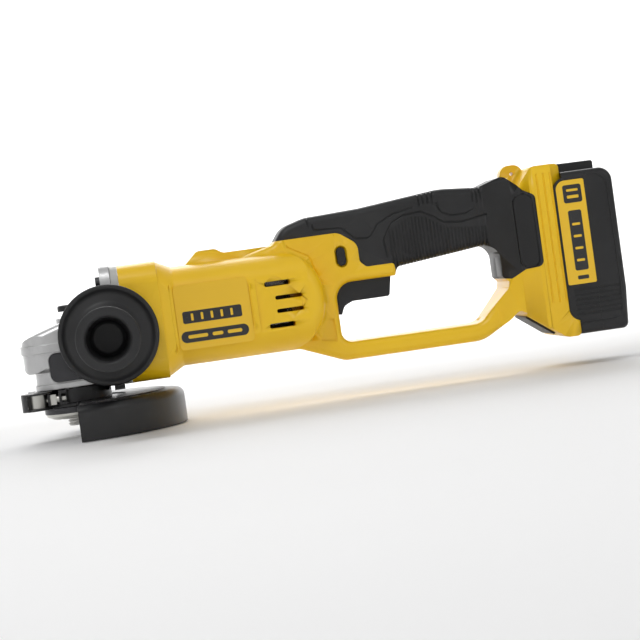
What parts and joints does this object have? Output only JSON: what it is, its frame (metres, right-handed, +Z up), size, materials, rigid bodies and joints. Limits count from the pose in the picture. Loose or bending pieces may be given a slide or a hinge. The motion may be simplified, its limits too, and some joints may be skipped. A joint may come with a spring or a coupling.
{
  "type": "cordless angle grinder",
  "caption": "Cordless angle grinder with a closed hand loop, right-angle gear head, half-disc guard on a lever clamp, screw-in side handle and slide-off battery pack.",
  "frame": {"origin": "on the spindle axis at the disc seat, the lower face of the inner flange", "axes": "+Z up the spindle into the gear head, +X back along the motor and hand loop towards the battery, -Y towards the side handle"},
  "size_m": [0.4057, 0.222, 0.1388],
  "materials": {
    "yellow_plastic": "fine moulded texture",
    "grip_rubber": "soft matt overmould",
    "black_plastic": "satin moulded",
    "label_yellow": "printed film",
    "dark_steel": "blackened",
    "light_plastic": "satin",
    "cast_aluminium": "die cast, satin",
    "dark_insert": "satin",
    "bright_steel": "ground",
    "zinc_steel": "zinc plated",
    "magnet": "ferrite",
    "carbon": "graphite",
    "copper": "wire and bars",
    "core_steel": "laminated",
    "black_steel": "black powder coat",
    "cell_wrap": "shrink wrap",
    "board_green": "circuit board"
  },
  "bodies": {
    "tool": {"housing_left": "yellow_plastic", "housing_right": "yellow_plastic", "grip_overmould_left": "grip_rubber", "grip_overmould_right": "grip_rubber", "side_pads": "black_plastic", "label_plates": "label_yellow", "housing_screws": "dark_steel", "foot_bumper": "grip_rubber", "adapter_ring": "light_plastic", "gear_case": "cast_aluminium", "gear_case_screws": "dark_steel", "cover_inserts": "dark_insert", "bearing_box": "cast_aluminium", "bearing_box_screws": "dark_steel", "spindle_bearings": "bright_steel", "spindle_seal": "black_plastic", "motor_bearings": "bright_steel", "motor_can": "zinc_steel", "motor_magnets": "magnet", "fan_baffle": "black_plastic", "brush_plate": "black_plastic", "carbon_brushes": "carbon", "brush_springs": "bright_steel", "switch_module": "black_plastic", "terminal_block": "copper", "trigger_pin": "bright_steel"},
    "spindle": {"spindle": "bright_steel", "crown_gear": "dark_steel", "retaining_ring": "dark_steel", "inner_flange": "dark_steel"},
    "clamp_nut": {"clamp_nut": "zinc_steel"},
    "armature": {"armature_shaft": "bright_steel", "armature_core": "core_steel", "armature_windings": "copper", "commutator": "copper", "fan": "black_plastic", "pinion": "dark_steel"},
    "guard": {"guard_shell": "black_steel", "clamp_band": "black_steel", "clamp_screw": "zinc_steel", "clamp_square_nut": "zinc_steel", "clamp_barrel": "zinc_steel", "lever_pin": "bright_steel"},
    "clamp_lever": {"clamp_lever": "black_steel"},
    "spindle_lock": {"spindle_lock": "black_plastic", "lock_spring": "bright_steel"},
    "trigger": {"trigger": "black_plastic"},
    "lock_off": {"lock_off_button": "black_plastic"},
    "battery": {"pack_front_case": "black_plastic", "pack_rear_case": "black_plastic", "pack_labels": "label_yellow", "battery_cells": "cell_wrap", "cell_holder": "black_plastic", "cell_board": "board_green", "pack_screws": "dark_steel"},
    "pack_button": {"pack_button": "black_plastic", "pack_button_springs": "bright_steel"},
    "handle_carriage": {"handle_washer": "zinc_steel"},
    "side_handle": {"handle_grip": "grip_rubber", "handle_stud": "zinc_steel"}
  },
  "joints": [
    {"name": "spindle_spin", "type": "hinge", "parent": "tool", "child": "spindle", "pos_m": [0, 0, 0], "axis": [0, 0, 1], "continuous": true},
    {"name": "armature_spin", "type": "hinge", "parent": "tool", "child": "armature", "pos_m": [0, 0, 0.0525], "axis": [1, 0, 0], "continuous": true},
    {"name": "clamp_nut_off", "type": "slide", "parent": "spindle", "child": "clamp_nut", "axis": [0, 0, -1], "range_m": [0, 0.012]},
    {"name": "guard_turn", "type": "hinge", "parent": "tool", "child": "guard", "pos_m": [0, 0, 0], "axis": [0, 0, 1], "range_deg": [-120, 45]},
    {"name": "clamp_lever_open", "type": "hinge", "parent": "guard", "child": "clamp_lever", "pos_m": [-0.024, -0.0295, 0], "axis": [0, 0, 1], "range_deg": [0, 85]},
    {"name": "spindle_lock_press", "type": "slide", "parent": "tool", "child": "spindle_lock", "axis": [0, 0, -1], "range_m": [0, 0.004], "stiffness_N_per_m": 400, "springref_m": -0.003, "deforming": ["lock_spring"]},
    {"name": "trigger_pull", "type": "hinge", "parent": "tool", "child": "trigger", "pos_m": [0.1865, 0, 0.062], "axis": [0, -1, 0], "range_deg": [0, 7], "stiffness_Nm_per_rad": 1.2, "springref_deg": -6.88},
    {"name": "lock_off_slide", "type": "slide", "parent": "tool", "child": "lock_off", "axis": [0, 1, 0], "range_m": [0, 0.004], "stiffness_N_per_m": 300, "springref_m": -0.002},
    {"name": "battery_slide", "type": "slide", "parent": "tool", "child": "battery", "axis": [0, 0, 1], "range_m": [0, 0.115]},
    {"name": "pack_button_press", "type": "slide", "parent": "battery", "child": "pack_button", "axis": [0, 0, -1], "range_m": [0, 0.0034], "stiffness_N_per_m": 500, "springref_m": -0.001, "deforming": ["pack_button_springs"]},
    {"name": "handle_back_off", "type": "slide", "parent": "tool", "child": "handle_carriage", "axis": [0, -1, 0], "range_m": [0, 0.0101]},
    {"name": "handle_turn", "type": "hinge", "parent": "handle_carriage", "child": "side_handle", "pos_m": [0.028, 0, 0.0477], "axis": [0, -1, 0], "range_deg": [0, 2880]}
  ],
  "couplings": [
    {"joint": "armature_spin", "follows": "spindle_spin", "ratio": 3.8},
    {"joint": "handle_back_off", "follows": "handle_turn", "m_per_rad": 0.00019894}
  ]
}
